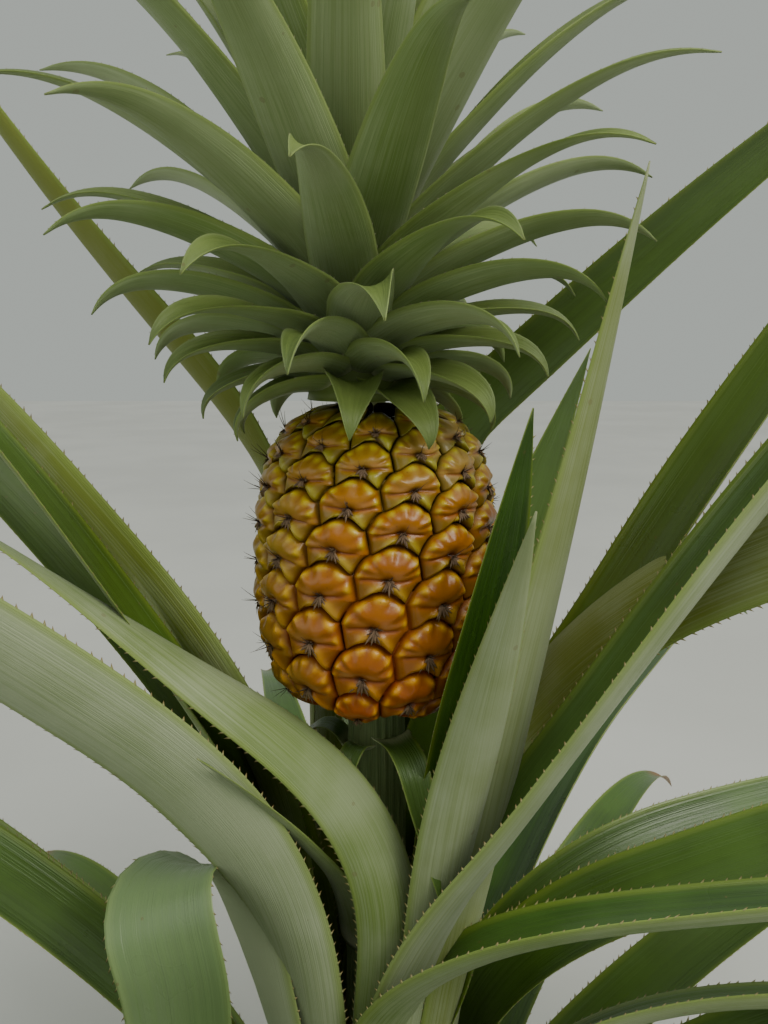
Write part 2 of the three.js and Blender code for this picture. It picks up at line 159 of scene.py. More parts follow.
def surface(tree, shader, colour, height, strength, distance):
    item = node(tree, "ShaderNodeBump", {"Height": height, "Strength": strength, "Distance": distance})
    tree.links.new(item.outputs[0], shader.inputs["Normal"])
    tree.links.new(colour, shader.inputs["Base Color"])


def new_group(name, inputs, outputs):
    tree = bpy.data.node_groups.new(name, "ShaderNodeTree")
    for label, kind, value in inputs:
        socket = tree.interface.new_socket(label, in_out="INPUT", socket_type=kind)
        if value is not None:
            socket.default_value = value
    for label, kind in outputs:
        tree.interface.new_socket(label, in_out="OUTPUT", socket_type=kind)
    return tree, node(tree, "NodeGroupInput"), node(tree, "NodeGroupOutput")


def use_group(tree, group, values):
    return node(tree, "ShaderNodeGroup", values, node_tree=group)


def new_material(name, roughness=0.5, **sockets):
    material = bpy.data.materials.new(name)
    material.use_nodes = True
    tree = material.node_tree
    shader = tree.nodes["Principled BSDF"]
    shader.inputs["Roughness"].default_value = roughness
    for key, value in sockets.items():
        shader.inputs[key.replace("_", " ")].default_value = value
    return material, tree, shader


def mark_value(tree, name):
    return node(tree, "ShaderNodeAttribute", attribute_name=name).outputs["Fac"]


# %% [markdown]
# ## Effects that several finishes share
# Leaves, bracts and stalk all have fibres that run lengthwise, clouds of lighter and darker tissue,
# and small scars. Each effect is one node group with named inputs, so every finish turns the same
# knobs to its own values instead of having its own copy of the nodes.

# %% Group: lengthwise fibres
VALUE = "NodeSocketFloat"
fibres, given, out = new_group(
    "Lengthwise fibres",
    [("Across", VALUE, 40.0), ("Along", VALUE, 3.0)],
    [("Fine", VALUE), ("Broad", VALUE)])
where = node(fibres, "ShaderNodeUVMap", uv_map="UVMap").outputs[0]
stretch = node(fibres, "ShaderNodeCombineXYZ", {0: given.outputs["Across"], 1: given.outputs["Along"],
                                                2: 1.0})
stretched = node(fibres, "ShaderNodeVectorMath", {0: where, 1: stretch.outputs[0]}, operation="MULTIPLY")
fine = node(fibres, "ShaderNodeTexNoise", {"Vector": stretched.outputs[0], "Scale": 1.0, "Detail": 3.0})
broad = node(fibres, "ShaderNodeTexNoise", {"Vector": stretched.outputs[0], "Scale": 0.22, "Detail": 2.0})
fibres.links.new(remap(fibres, fine.outputs["Fac"], 0.36, 0.64), out.inputs["Fine"])
fibres.links.new(remap(fibres, broad.outputs["Fac"], 0.34, 0.66), out.inputs["Broad"])

# %% Group: clouds of lighter and darker tissue
clouds, given, out = new_group(
    "Tissue clouds",
    [("Scale", VALUE, 20.0), ("Low", VALUE, 0.35), ("High", VALUE, 0.65)],
    [("Mask", VALUE)])
where = node(clouds, "ShaderNodeTexCoord").outputs["Object"]
patch = node(clouds, "ShaderNodeTexNoise", {"Vector": where, "Scale": given.outputs["Scale"], "Detail": 4.0})
mask = remap(clouds, patch.outputs["Fac"], given.outputs["Low"], given.outputs["High"])
clouds.links.new(mask, out.inputs["Mask"])

# %% Group: small scars and specks
specks, given, out = new_group(
    "Specks",
    [("Scale", VALUE, 300.0), ("Size", VALUE, 0.12), ("Share", VALUE, 0.3)],
    [("Mask", VALUE)])
where = node(specks, "ShaderNodeTexCoord").outputs["Object"]
cell = node(specks, "ShaderNodeTexVoronoi", {"Vector": where, "Scale": given.outputs["Scale"]})
drawn = node(specks, "ShaderNodeSeparateColor", {0: cell.outputs["Color"]})
chosen = calc(specks, "LESS_THAN", drawn.outputs[0], given.outputs["Share"])
dot = calc(specks, "LESS_THAN", cell.outputs["Distance"], given.outputs["Size"])
specks.links.new(calc(specks, "MULTIPLY", chosen, dot), out.inputs["Mask"])
print("groups", [g.name for g in bpy.data.node_groups])

# %% [markdown]
# ## Leaf finishes
# A pineapple leaf is two finishes back to back. The upper side is a smooth dark green channel with a
# yellow-green margin. The underside wears a grey bloom of tiny scales in fine rows. Each leaf mesh
# carries two marks, bloom and olive, that say how grey and how yellow that leaf has aged. Two more
# marks, dry and sharp, tell the withered end of a leaf and the point of a spine.

# %% Material: leaf, upper side
def leaf_top(name, deep, fresh, margin, margin_share, gloss):
    material, tree, shader = new_material(name, Specular_IOR_Level=0.45)
    uv = node(tree, "ShaderNodeSeparateXYZ", {0: node(tree, "ShaderNodeUVMap", uv_map="UVMap").outputs[0]})
    lines = use_group(tree, fibres, {"Across": 70.0, "Along": 2.5})
    haze = use_group(tree, clouds, {"Scale": 14.0})
    colour = tint(tree, haze.outputs["Mask"], deep, fresh)
    colour = over(tree, colour, lines.outputs["Broad"], 0.5, fresh)
    off_middle = calc(tree, "ABSOLUTE", calc(tree, "SUBTRACT", uv.outputs[0], 0.5))
    edge = remap(tree, off_middle, 0.40, 0.49)
    colour = over(tree, colour, edge, margin_share, margin)
    colour = over(tree, colour, mark_value(tree, "olive"), 0.5, (0.15, 0.20, 0.010))
    colour = over(tree, colour, mark_value(tree, "bloom"), 0.2, (0.20, 0.28, 0.13))
    colour = tint(tree, remap(tree, uv.outputs[1], 0.12, 0.0), colour, (0.42, 0.46, 0.24))
    dry = mark_value(tree, "dry")
    colour = tint(tree, dry, colour, (0.22, 0.13, 0.06))
    scar = use_group(tree, specks, {"Scale": 120.0, "Size": 0.10, "Share": 0.12})
    colour = over(tree, colour, scar.outputs["Mask"], 0.5, (0.14, 0.10, 0.035))
    rough = calc(tree, "ADD", calc(tree, "MULTIPLY", haze.outputs["Mask"], 0.12), gloss)
    tree.links.new(calc(tree, "ADD", rough, calc(tree, "MULTIPLY", dry, 0.3)), shader.inputs["Roughness"])
    relief = calc(tree, "ADD", lines.outputs["Broad"], calc(tree, "MULTIPLY", lines.outputs["Fine"], 0.35))
    surface(tree, shader, colour, relief, 0.5, 0.0004)
    return material


# %% Material: leaf, underside
def leaf_under(name, bloomed, green, olive):
    material, tree, shader = new_material(name, Specular_IOR_Level=0.35, Sheen_Weight=0.12,
                                          Sheen_Roughness=0.4)
    uv = node(tree, "ShaderNodeSeparateXYZ", {0: node(tree, "ShaderNodeUVMap", uv_map="UVMap").outputs[0]})
    lines = use_group(tree, fibres, {"Across": 95.0, "Along": 3.0})
    haze = use_group(tree, clouds, {"Scale": 18.0})
    bare = tint(tree, mark_value(tree, "olive"), green, olive)
    rubbed = calc(tree, "MULTIPLY", haze.outputs["Mask"], 0.35)
    rows = calc(tree, "MULTIPLY", lines.outputs["Fine"], 0.30)
    cover = calc(tree, "SUBTRACT", calc(tree, "SUBTRACT", mark_value(tree, "bloom"), rubbed), rows)
    cover = calc(tree, "ADD", cover, 0.30, clamp=True)
    colour = tint(tree, cover, bare, bloomed)
    off_middle = calc(tree, "ABSOLUTE", calc(tree, "SUBTRACT", uv.outputs[0], 0.5))
    edge = remap(tree, off_middle, 0.38, 0.49)
    colour = over(tree, colour, edge, 0.7, (0.22, 0.30, 0.05))
    colour = tint(tree, remap(tree, uv.outputs[1], 0.10, 0.0), colour, (0.50, 0.52, 0.32))
    dry = mark_value(tree, "dry")
    colour = tint(tree, dry, colour, (0.30, 0.19, 0.10))
    scar = use_group(tree, specks, {"Scale": 90.0, "Size": 0.12, "Share": 0.16})
    colour = over(tree, colour, scar.outputs["Mask"], 0.4, (0.20, 0.16, 0.07))
    tree.links.new(remap(tree, haze.outputs["Mask"], 0.0, 1.0, 0.46, 0.60), shader.inputs["Roughness"])
    surface(tree, shader, colour, lines.outputs["Fine"], 0.45, 0.0003)
    return material


# %% Material: spines
def spine_finish(name, foot, point):
    material, tree, shader = new_material(name, roughness=0.45)
    haze = use_group(tree, clouds, {"Scale": 60.0})
    colour = tint(tree, mark_value(tree, "sharp"), foot, point)
    colour = over(tree, colour, haze.outputs["Mask"], 0.3, (0.30, 0.26, 0.12))
    surface(tree, shader, colour, haze.outputs["Mask"], 0.2, 0.0002)
    return material


leaf_finish = [
    leaf_top("Leaf upper side", (0.014, 0.050, 0.005), (0.042, 0.112, 0.009), (0.20, 0.28, 0.03), 0.6, 0.27),
    leaf_under("Leaf underside", (0.385, 0.435, 0.275), (0.125, 0.205, 0.030), (0.185, 0.215, 0.025)),
    spine_finish("Leaf spine", (0.24, 0.28, 0.10), (0.20, 0.09, 0.03)),
]
crown_finish = [
    leaf_top("Crown leaf upper side", (0.090, 0.132, 0.026), (0.180, 0.240, 0.056), (0.26, 0.31, 0.14), 0.35,
             0.36),
    leaf_under("Crown leaf underside", (0.370, 0.440, 0.235), (0.145, 0.235, 0.040), (0.22, 0.27, 0.040)),
    spine_finish("Crown leaf spine", (0.26, 0.31, 0.18), (0.18, 0.12, 0.06)),
]
print("leaf finishes", [m.name for m in leaf_finish + crown_finish])

# %% [markdown]
# ## The shape of a leaf
# The plain solids follow one rule: a midline leaves the axis, climbs, bends over and droops, and an
# arc-shaped section rides along it. The same rule is written again here in millimetres, so each fine
# leaf lies where its plain solid lies and reaches as far.

# %% Stem, stalk and fruit outlines
STEM_HEIGHT, STEM_WAIST, STEM_SHOULDER = 260, 30, 200
STEM_GROUND_RADIUS, STEM_WAIST_RADIUS, STEM_SHOULDER_RADIUS, STEM_TOP_RADIUS = 37, 30, 36, 22
STALK_FOOT_RADIUS, STALK_TOP_RADIUS, STALK_LEAN = 17, 15, 0.10
FRUIT_FOOT, FRUIT_TOP, FRUIT_WIDEST, FRUIT_RADIUS = 438, 594, 512, 61
CROWN_FOOT_RADIUS, CROWN_TIP_RADIUS, CROWN_CORE_HEIGHT = 25, 5, 84
CROWN_OFFSET, CROWN_SIDE_LEAN = 10, 0.05
ROOT_INSET = 4


def lean_at(z):
    return np.maximum(0.0, z - STEM_HEIGHT) * STALK_LEAN


def side_at(z):
    return np.where(z > FRUIT_TOP, -CROWN_OFFSET - (z - FRUIT_TOP) * CROWN_SIDE_LEAN, 0.0)


def stem_radius(z):
    if z < STEM_WAIST:
        return mix(STEM_GROUND_RADIUS, STEM_WAIST_RADIUS, math.sin(math.pi / 2 * z / STEM_WAIST))
    if z < STEM_SHOULDER:
        swell = float(ease((z - STEM_WAIST) / (STEM_SHOULDER - STEM_WAIST)))
        return mix(STEM_WAIST_RADIUS, STEM_SHOULDER_RADIUS, swell)
    rounding = ((z - STEM_SHOULDER) / (STEM_HEIGHT - STEM_SHOULDER)) ** 2
    return mix(STEM_SHOULDER_RADIUS, STEM_TOP_RADIUS, rounding)


def stalk_radius(z):
    return mix(STALK_FOOT_RADIUS, STALK_TOP_RADIUS, (z - STEM_HEIGHT) / (FRUIT_FOOT - STEM_HEIGHT))


def fruit_radius(z):
    reach = np.where(z < FRUIT_WIDEST, FRUIT_WIDEST - FRUIT_FOOT, FRUIT_TOP - FRUIT_WIDEST)
    x = np.minimum(1.0, np.abs(z - FRUIT_WIDEST) / reach)
    return FRUIT_RADIUS * np.cbrt(1 - x ** 3)


# %% Leaf midline
PATH_STEPS = 60
HANG_CURVE = 1.4
HOOK_FROM, HOOK_CURVE = 0.72, 1.5
CLASP_LENGTH, BELLY_LOSS, TAPER_CURVE, TAPER_POWER = 0.1, 0.1, 1.6, 0.95


def leaf_path(leaf):
    at = math.radians(leaf["at"])
    away = Vector((math.cos(at), math.sin(at), 0))
    point = away * leaf["root"] + Vector((float(side_at(leaf["z"])), float(lean_at(leaf["z"])), leaf["z"]))
    normal, last = -away, None
    rows = []
    for i in range(PATH_STEPS + 1):
        t = i / PATH_STEPS
        bend = float(ease((t - leaf["bend_from"]) / (leaf["bend_to"] - leaf["bend_from"])))
        hang = max(0.0, (t - leaf["bend_to"]) / max(1e-6, 1 - leaf["bend_to"])) ** HANG_CURVE
        curl = max(0.0, (t - HOOK_FROM) / (1 - HOOK_FROM)) ** HOOK_CURVE
        climb = math.radians(leaf["rise"] - leaf["arch"] * bend - leaf["droop"] * hang - leaf["hook"] * curl)
        heading = math.radians(leaf["toward"] + leaf["turn"] * bend)
        flat = math.cos(climb)
        along = Vector((flat * math.cos(heading), flat * math.sin(heading), math.sin(climb)))
        if last is not None:
            normal.rotate(last.rotation_difference(along))
        normal = (normal - along * normal.dot(along)).normalized()
        up = normal.copy()
        up.rotate(Quaternion(along, math.radians(leaf["twist"] * float(ease(t / leaf["twist_by"])))))
        rows.append((*point, *along, *up, *along.cross(up)))
        point = point + along * (leaf["length"] / PATH_STEPS)
        last = along
    table = np.array(rows)
    return table[:, 0:3], table[:, 3:6], table[:, 6:9], table[:, 9:12]


def leaf_width(leaf, t):
    broad = leaf["width"] * mix(leaf["clasp"], 1.0, ease(t / CLASP_LENGTH))
    x = clamp01((t - leaf["taper_from"]) / (1 - leaf["taper_from"]))
    belly = 1 - BELLY_LOSS * ease(t / leaf["taper_from"])
    return broad * belly * (1 - x ** TAPER_CURVE) ** TAPER_POWER


# %% [markdown]
# A real blade is only two or three millimetres thick in the middle and sharp at its margins. The
# mesh is a closed ring of points at each station, upper side out and underside back, so the two
# sides can take different finishes. Spines are small four-sided thorns set along both margins,
# leaning toward the tip. They are real mesh, because they show against the light.

# %% Leaf blade mesh
def tube_faces(rings, sides):
    faces = []
    for k in range(rings):
        for j in range(sides):
            a, b = k * sides + j, k * sides + (j + 1) % sides
            faces.append((a, b, b + sides, a + sides))
    return faces


THINNEST_WIDTH, CUP_SETTLES, MARGIN_CROWDING = 0.7, 0.35, 0.92
MARGIN_HALF, TIP_HALF = 0.12, 0.45
WAVE_LENGTH, WAVE_HEIGHT = 38, 0.8
SPINE_FIRST, SPINE_LAST, SPINE_SEAT = 0.06, 0.975, 0.35
DRY_FADE = 0.06


def blade(leaf, rng, middle=1.3, across=12, spine=2.3, spacing=5.4):
    point, along, up, side = leaf_path(leaf)
    t = np.linspace(0, 1, PATH_STEPS + 1)
    width = np.maximum(leaf_width(leaf, t), THINNEST_WIDTH)
    radius = width / np.radians(mix(leaf["cup_foot"], leaf["cup_blade"], ease(t / CUP_SETTLES)))
    cup = width / radius
    u = np.sin(np.linspace(-1, 1, across + 1) * math.pi / 2 * MARGIN_CROWDING)
    u = u / math.sin(math.pi / 2 * MARGIN_CROWDING)
    half = np.outer(np.minimum(mix(middle, TIP_HALF, t), width * 0.3), (1 - u ** 2) ** 0.75) + MARGIN_HALF
    ripple = np.sin(t * leaf["length"] / WAVE_LENGTH + rng.uniform(0, 6)) * np.sin(math.pi * t)
    wave = np.outer(ripple, np.abs(u) ** 3) * WAVE_HEIGHT
    bow = np.outer(cup, u) / 2
    rings = []
    for sign in (1, -1):
        reach = radius[:, None] - sign * half
        high = radius[:, None] - reach * np.cos(bow) + wave
        sideways = side[:, None] * (reach * np.sin(bow))[..., None]
        rings.append(point[:, None] + sideways + up[:, None] * high[..., None])
    ring = np.concatenate([rings[0], rings[1][:, ::-1]], axis=1)
    count = ring.shape[1]
    share = np.concatenate([0.5 + u / 2, (0.5 + u / 2)[::-1]])
    uv = np.stack(np.broadcast_arrays(share[None, :], t[:, None]), axis=-1).reshape(-1, 2)
    faces = tube_faces(PATH_STEPS, count)
    kinds = [0 if j < across else 1 for j in range(count)] * PATH_STEPS
    for j in range(across):
        faces.append((j + 1, j, count - 1 - j, count - 2 - j))
        kinds.append(1)
        foot = PATH_STEPS * count
        faces.append((foot + j, foot + j + 1, foot + count - 2 - j, foot + count - 1 - j))
        kinds.append(1)
    points = [ring.reshape(-1, 3)]
    sharp = [np.zeros(len(points[0]))]
    uvs = [uv]
    total = len(points[0])
    for edge in (-1, 1):
        tilt = edge * np.cos(cup / 2)[:, None] * side + np.sin(cup / 2)[:, None] * up
        rim = point + side * (edge * radius * np.sin(cup / 2))[:, None]
        rim = rim + up * (radius - radius * np.cos(cup / 2) + wave[:, 0])[:, None]
        spots = np.arange(SPINE_FIRST * leaf["length"], SPINE_LAST * leaf["length"], spacing)
        spots = spots + rng.uniform(-0.25, 0.25, len(spots)) * spacing
        for s in spots / leaf["length"]:
            seat, out_, run = (np.array([np.interp(s, t, c[:, i]) for i in range(3)])
                               for c in (rim, tilt, along))
            face = np.cross(out_, run)
            size = spine * rng.uniform(0.7, 1.15) * (1 - 0.45 * s)
            seat = seat - out_ * SPINE_SEAT
            tip = seat + out_ * size + run * size * rng.uniform(0.7, 1.2)
            long_half, thin_half = run * size * 0.5, face * size * 0.16
            base = [seat - long_half, seat + thin_half, seat + long_half, seat - thin_half]
            points.append(np.array(base + [tip]))
            sharp.append(np.array([0, 0, 0, 0, 1.0]))
            uvs.append(np.full((5, 2), (0.5, s)))
            order = (0, 1, 2, 3) if edge > 0 else (3, 2, 1, 0)
            faces += [(total + order[i], total + order[(i + 1) % 4], total + 4) for i in range(4)]
            kinds += [2] * 4
            total += 5
    flat_uv = np.concatenate(uvs)
    marks = {"sharp": np.concatenate(sharp), "dry": ease((flat_uv[:, 1] - leaf["dry_from"]) / DRY_FADE)}
    return np.concatenate(points), faces, kinds, flat_uv, marks


def joined(parts):
    points, faces, kinds, uvs, marks, total = [], [], [], [], {}, 0
    for part_points, part_faces, part_kinds, part_uv, part_marks in parts:
        points.append(part_points)
        faces += [tuple(total + i for i in face) for face in part_faces]
        kinds += part_kinds
        uvs.append(part_uv)
        for key, values in part_marks.items():
            marks.setdefault(key, []).append(np.broadcast_to(values, (len(part_points),)))
        total += len(part_points)
    marks = {key: np.concatenate(values) for key, values in marks.items()}
    return np.concatenate(points), faces, kinds, np.concatenate(uvs), marks


# %% [markdown]
# ## The rosette
# Leaves sit a golden angle apart up the stem. Old low ones lie out flat, the middle ones are longest,
# and the young inner ones stand up. Twenty leaves have a stance of their own, the same as their plain
# solids. Six of these, numbers 16, 18, 21, 22, 28 and 29, were chosen. Number 25 may have been
# chosen or fitted. The other thirteen were worked out by least squares from leaf edges read off the
# picture, so their numbers are a table that this script doesn't derive.

# %% Rosette rule
DIVERGENCE = 137.5
ROSETTE_COUNT, ROSETTE_LOWEST, ROSETTE_HIGHEST = 40, 35, 250
OLD_LEAVES = 16
leaf_defaults = dict(turn=0, twist=0, twist_by=1, hook=0, clasp=1.15, taper_from=0.45, dry_from=0.985)
stances = {
    16: dict(toward=15, rise=78, arch=70, droop=30, length=600, width=50),
    18: dict(toward=-10, rise=72, arch=66, droop=35, length=600, width=50),
    21: dict(toward=-5, rise=82, arch=56, droop=25, bend_to=0.4, length=600, width=56),
    22: dict(toward=158, rise=86, arch=44, droop=20, length=700, width=56, cup_blade=100),
    23: dict(toward=-46.5, turn=43, rise=95, arch=86, droop=17, bend_to=0.47, twist=39, twist_by=0.32,
             length=620, width=54, cup_blade=104),
    24: dict(toward=75, turn=-99, rise=78, arch=35, droop=8, bend_from=0.43, bend_to=0.56, twist=-6.5,
             twist_by=0.5, length=800, width=58, cup_blade=92),
    25: dict(toward=177, turn=158, rise=78, arch=165, droop=0, bend_from=0.31, bend_to=0.58, twist=38,
             twist_by=0.5, length=490, width=62, cup_blade=40),
    26: dict(toward=-13, rise=89, arch=9.5, droop=-2.5, bend_from=0, bend_to=0.3, twist=-11, twist_by=0.5,
             length=520, width=54, cup_blade=97),
    27: dict(toward=31, turn=4, rise=78.4, arch=17, droop=0, bend_from=0, bend_to=0.7, twist=-6, twist_by=0.4,
             length=475, width=58, cup_blade=80),
    28: dict(rise=44, arch=24, droop=40),
    29: dict(toward=50, rise=46, arch=36, droop=40),
    30: dict(toward=174, rise=88.5, arch=37.5, droop=12, bend_to=0.52, twist=43.5, twist_by=0.48, length=660,
             width=66, cup_blade=147),
    31: dict(toward=-7.5, rise=95, arch=35.5, droop=7, bend_from=0, bend_to=0.28, twist=45, twist_by=0.34,
             length=680, width=60, cup_blade=116),
    32: dict(toward=-0.5, turn=-56, rise=77, arch=49, droop=4, bend_from=0.07, bend_to=0.57, twist=111.5,
             twist_by=0.33, length=800, width=63, cup_blade=78),
    33: dict(toward=-144, rise=84.5, arch=38, droop=21, bend_from=0.06, bend_to=0.48, twist=59, twist_by=0.36,
             length=620, width=46, cup_blade=45),
    34: dict(toward=-29.5, turn=-42.5, rise=93.7, arch=25, droop=0, bend_from=0.15, bend_to=0.72, twist=132,
             twist_by=0.4, length=388, width=50, cup_blade=54, taper_from=0.6),
    35: dict(toward=105.5, turn=69.5, rise=75, arch=24.5, droop=-11, bend_from=0.22, bend_to=0.57, twist=76,
             twist_by=0.59, length=750, width=46, cup_blade=81),
    36: dict(toward=-185, rise=95, arch=58, droop=24, bend_from=0.11, bend_to=0.43, twist=134, twist_by=0.86,
             length=580, width=36, cup_blade=56),
    37: dict(toward=-5, rise=79, arch=17, droop=6, bend_from=0, bend_to=0.25, twist=-37.5, twist_by=0.4,
             length=700, width=58, cup_blade=82),
    39: dict(toward=-62, turn=-8, rise=78.7, arch=8.3, droop=0, bend_from=0.18, bend_to=0.95, twist=-65.5,
             length=325, width=46, cup_foot=92, cup_blade=120, taper_from=0.35),
}
# How grey (bloom) and how yellow (olive) some leaves are. 1 is the usual full effect, and the rest of
# the leaves draw both by chance.
ages = {33: (0.95, 0.1), 36: (0.45, 0.15), 30: (0.25, 0.8), 35: (0.0, 1.8), 22: (0.3, 0.5), 25: (3.2, 0.1),
        39: (0.7, 0.5), 31: (0.75, 0.3), 26: (0.45, 0.7), 32: (0.25, 0.9), 34: (0.1, 0.1), 29: (0.1, 0.1),
        37: (0.4, 0.75), 23: (0.3, 0.1), 21: (0.4, 0.3), 24: (0.8, 0.5), 16: (0.4, 0.3), 18: (0.4, 0.3)}


def rosette_leaf(k):
    up = k / (ROSETTE_COUNT - 1)
    prime = math.sin(math.pi * min(1, 0.12 + 0.8 * up))
    at = (k * DIVERGENCE + 180) % 360 - 180
    z = mix(ROSETTE_LOWEST, ROSETTE_HIGHEST, up)
    rule = dict(leaf_defaults, at=at, toward=at, z=z, rise=38 + 44 * up, arch=30 - 10 * up,
                droop=62 - 50 * up, bend_from=0.05, bend_to=0.5,
                length=360 + 380 * prime, width=40 + 18 * prime,
                cup_foot=100, cup_blade=80, root=stem_radius(z) + ROOT_INSET)
    if k < OLD_LEAVES:
        rule["dry_from"] = mix(0.80, 0.96, k / OLD_LEAVES)
    return {**rule, **stances.get(k, {})}


# %% Build the rosette
faces_made = 0
for k in range(ROSETTE_COUNT):
    rng = np.random.default_rng(100 + k)
    points, faces, kinds, uv, marks = blade(rosette_leaf(k), rng)
    bloom, olive = ages.get(k, (rng.uniform(0.3, 0.7), rng.uniform(0.15, 0.6)))
    marks.update(bloom=bloom, olive=olive)
    name = f"leaf_{k + 1:02d}"
    make_piece(f"rosette_{name}", points * MM, faces, leaf_finish, [name], kinds, uv, marks)
    faces_made += len(faces)
print("rosette faces", faces_made)

# %% [markdown]
# ## The crown
# The crown is the same kind of rosette in small: a skirt of short leaves that curl down over the
# fruit, then longer, broader and more upright ones. Its leaves are fused in four tiers, so each tier
# here is one piece too.

# %% Crown rule and pieces
CROWN_LEAF_COUNT = 88
CROWN_CROWDING = 1.2
CROWN_FIRST_AZIMUTH = 250
CROWN_SKIRT_TO, CROWN_GROWN_FROM, CROWN_YOUNG_FROM, CROWN_TWIST = 0.15, 0.75, 0.85, 22
tiers = {"crown_heart": (72, 88), "crown_middle": (48, 72), "crown_lower": (24, 48), "crown_skirt": (0, 24)}


def crown_leaf(k):
    up = (k / (CROWN_LEAF_COUNT - 1)) ** CROWN_CROWDING
    at = (CROWN_FIRST_AZIMUTH + k * DIVERGENCE) % 360
    grown = min(1, up / CROWN_GROWN_FROM) ** 1.1
    young = max(0, (up - CROWN_YOUNG_FROM) / (1 - CROWN_YOUNG_FROM))
    z = FRUIT_TOP + ROOT_INSET + (CROWN_CORE_HEIGHT - 2 * ROOT_INSET) * up
    root = mix(CROWN_FOOT_RADIUS, CROWN_TIP_RADIUS, up) - ROOT_INSET
    return dict(leaf_defaults, at=at, toward=at, z=z, root=root,
                rise=16 * min(1, up / CROWN_SKIRT_TO) + 68 * up, arch=22 - 18 * up ** 2,
                droop=53 * (1 - up) ** 0.6, hook=42 * (1 - up), bend_from=0, bend_to=0.45,
                length=52 + 190 * grown - 40 * young, width=34 + 17 * up,
                twist=CROWN_TWIST if k % 2 else -CROWN_TWIST,
                clasp=mix(0.8, 0.3, up), taper_from=0.25, cup_foot=110, cup_blade=105)


def core_radius(z):
    return mix(CROWN_FOOT_RADIUS, CROWN_TIP_RADIUS, (z - FRUIT_TOP) / CROWN_CORE_HEIGHT)


def band(radius_at, low, high, rings=4, sides=40):
    z = np.linspace(low, high, rings + 1)
    turn = np.linspace(0, 2 * math.pi, sides, endpoint=False)
    r = np.array([radius_at(h) for h in z])
    x = np.outer(r, np.cos(turn)) + side_at(z)[:, None]
    y = np.outer(r, np.sin(turn)) + lean_at(z)[:, None]
    points = np.stack([x, y, np.repeat(z[:, None], sides, axis=1)], axis=-1).reshape(-1, 3)
    faces = tube_faces(rings, sides)
    faces += [tuple(range(sides))[::-1], tuple(rings * sides + j for j in range(sides))]
    return points, faces


for tier, (first, last) in tiers.items():
    parts = []
    for k in range(first, last):
        rng = np.random.default_rng(500 + k)
        part = blade(crown_leaf(k), rng, middle=1.0, across=10, spine=1.3, spacing=4.2)
        part[4].update(bloom=rng.uniform(0.4, 0.8), olive=rng.uniform(0.0, 0.3))
        parts.append(part)
    core = [FRUIT_TOP + 1 + CROWN_CORE_HEIGHT * (k / CROWN_LEAF_COUNT) ** CROWN_CROWDING
            for k in (first, last)]
    points, faces = band(core_radius, *core)
    parts.append((points, faces, [0] * len(faces), np.full((len(points), 2), 0.3),
                  dict(sharp=0.0, dry=0.0, bloom=0.4, olive=0.2)))
    points, faces, kinds, uv, marks = joined(parts)
    make_piece(f"{tier}_leaves", points * MM, faces, crown_finish, [tier], kinds, uv, marks)
    print(tier, len(faces), "faces")

# %% [markdown]
# ## The stalk and its leaves
# Short blades stand on the stalk and a few curl close under the fruit. The stalk itself is ribbed and
# pale green.

# %% Stalk leaves
stalk_stances = [
    dict(at=-65, z=424, rise=5, arch=62, length=86, width=20),
    dict(at=87, z=350, rise=78, arch=30, length=150, width=26),
    dict(at=225, z=310, rise=80, arch=24, length=170, width=28),
    dict(at=20, z=285, rise=82, arch=14, length=190, width=30),
    dict(at=160, z=412, rise=50, arch=90, length=60, width=16),
    dict(at=245, z=420, rise=30, arch=80, length=40, width=14),
]
for i, stance in enumerate(stalk_stances):
    rng = np.random.default_rng(800 + i)
    leaf = dict(leaf_defaults, toward=stance["at"], droop=10, bend_from=0.05, bend_to=0.4, cup_foot=80,
                cup_blade=60, root=stalk_radius(stance["z"]) + 2, **stance)
    leaf["taper_from"] = 0.2
    points, faces, kinds, uv, marks = blade(leaf, rng, middle=0.9, across=10, spine=1.4, spacing=4.6)
    marks.update(bloom=0.5, olive=0.35)
    name = f"stalk_leaf_{i + 1}"
    make_piece(f"{name}_blade", points * MM, faces, leaf_finish, [name], kinds, uv, marks)


# %% Fibrous stem finishes
def fibrous(name, dark, light, moss, roughness):
    material, tree, shader = new_material(name, roughness=roughness)
    lines = use_group(tree, fibres, {"Across": 60.0, "Along": 4.0})
    haze = use_group(tree, clouds, {"Scale": 30.0})
    scar = use_group(tree, specks, {"Scale": 220.0, "Size": 0.22, "Share": 0.3})
    colour = tint(tree, lines.outputs["Fine"], dark, light)
    colour = over(tree, colour, haze.outputs["Mask"], 0.6, moss)
    colour = over(tree, colour, scar.outputs["Mask"], 0.5, dark)
    tree.links.new(remap(tree, lines.outputs["Broad"], 0.0, 1.0, roughness - 0.1, roughness + 0.08),
                   shader.inputs["Roughness"])
    surface(tree, shader, colour, lines.outputs["Fine"], 0.7, 0.0008)
    return material


stem_finish = fibrous("Stem, dry leaf bases", (0.075, 0.045, 0.022), (0.26, 0.18, 0.10), (0.16, 0.15, 0.07),
                      0.8)
stalk_finish = fibrous("Stalk", (0.14, 0.22, 0.07), (0.27, 0.34, 0.14), (0.20, 0.24, 0.09), 0.55)


